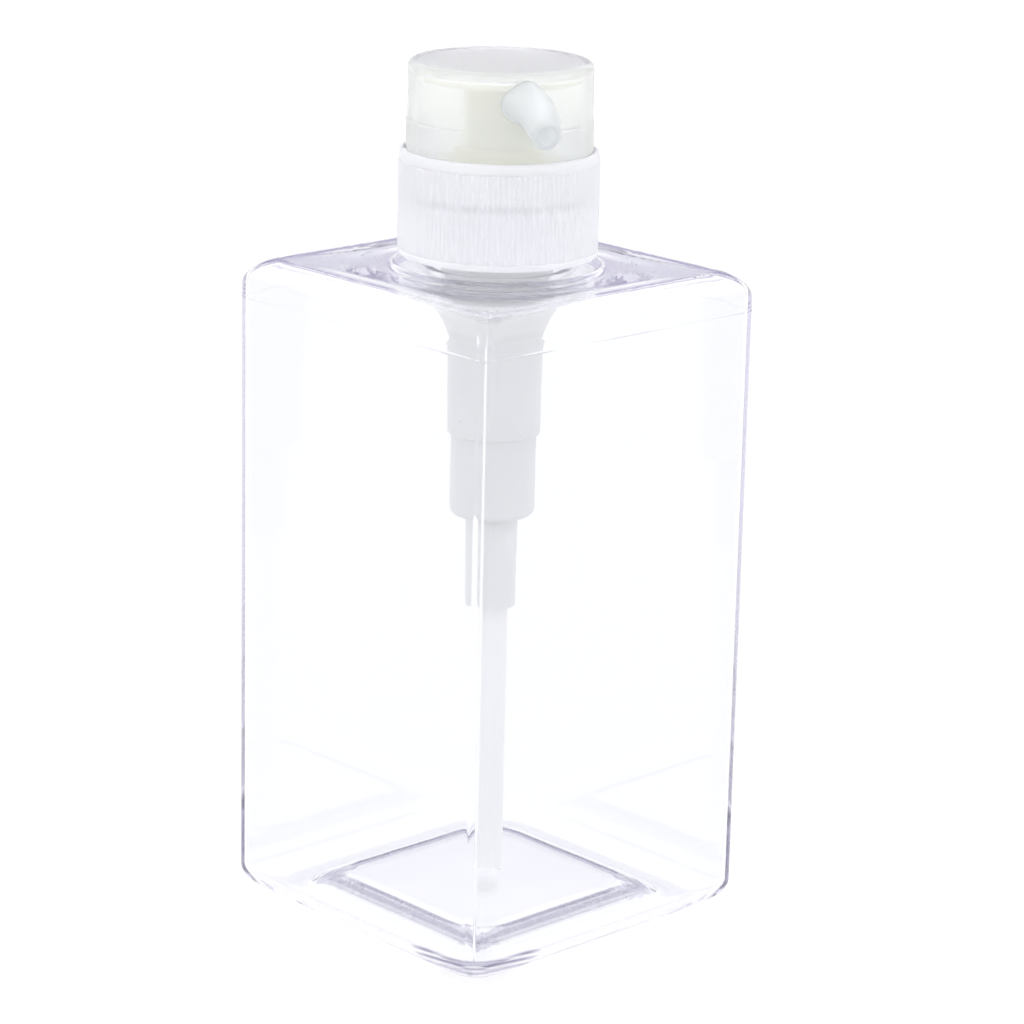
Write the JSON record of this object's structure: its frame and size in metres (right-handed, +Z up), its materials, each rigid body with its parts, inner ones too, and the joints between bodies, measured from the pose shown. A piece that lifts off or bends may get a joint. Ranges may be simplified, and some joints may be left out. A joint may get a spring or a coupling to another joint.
{
  "type": "soap pump dispenser",
  "caption": "Square clear bottle with a ribbed screw collar and a short push-down pump head with a side spout, for liquid soap or lotion.",
  "frame": {"origin": "centre of the square base, on the surface that the bottle stands on", "axes": "+Z up along the pump's centre line; +X and +Y square to the bottle's flat sides; the front face is -Y; the spout points 23.5 degrees clockwise from -Y seen from above"},
  "size_m": [0.07, 0.07, 0.1668],
  "materials": {
    "clear_wall": "clear, glossy, faintly violet in its thick parts",
    "milky_collar": "milky translucent, satin ribs and a smooth lower band",
    "milky_head": "milky translucent, smooth",
    "milky_spout": "milky translucent, smooth",
    "cream_core": "natural cream, satin",
    "cream_guide": "natural cream, satin",
    "milky_housing": "milky translucent, satin",
    "milky_stem": "milky, satin",
    "milky_tube": "milky translucent, smooth",
    "white_insert": "white, satin",
    "white_seal": "soft white, matt",
    "steel_ball": "polished stainless steel",
    "spring_steel": "drawn stainless steel wire"
  },
  "bodies": {
    "bottle": {"bottle": "clear_wall"},
    "pump": {"pump_housing": "milky_housing", "chaplet": "cream_guide", "neck_gasket": "white_seal", "stem_seal": "white_seal", "ball_cage": "white_insert", "dip_tube": "milky_tube", "return_spring": "spring_steel"},
    "collar": {"collar": "milky_collar"},
    "plunger": {"piston": "white_insert", "piston_seat": "white_insert"},
    "head": {"stem": "milky_stem", "head_core": "cream_core", "head_shell": "milky_head", "spout": "milky_spout"},
    "inlet_valve": {"inlet_ball": "steel_ball"},
    "outlet_valve": {"outlet_ball": "steel_ball"}
  },
  "joints": [
    {"name": "pump_lift", "type": "slide", "parent": "bottle", "child": "pump", "axis": [0, 0, 1], "range_m": [0, 0.00846]},
    {"name": "closure_turn", "type": "hinge", "parent": "pump", "child": "collar", "pos_m": [0, 0, 0.14], "axis": [0, 0, 1], "range_deg": [0, 720]},
    {"name": "head_press", "type": "slide", "parent": "pump", "child": "plunger", "axis": [0, 0, -1], "range_m": [0, 0.0054], "stiffness_N_per_m": 1700, "springref_m": -0.004, "deforming": ["return_spring"]},
    {"name": "head_turn", "type": "hinge", "parent": "plunger", "child": "head", "pos_m": [0, 0, 0.16], "axis": [0, 0, 1], "continuous": true},
    {"name": "inlet_valve_lift", "type": "slide", "parent": "pump", "child": "inlet_valve", "axis": [0, 0, 1], "range_m": [0, 0.0014]},
    {"name": "outlet_valve_lift", "type": "slide", "parent": "head", "child": "outlet_valve", "axis": [0, 0, 1], "range_m": [0, 0.0014]}
  ],
  "couplings": [
    {"joint": "closure_turn", "follows": "pump_lift", "rad_per_m": 1484.3}
  ]
}
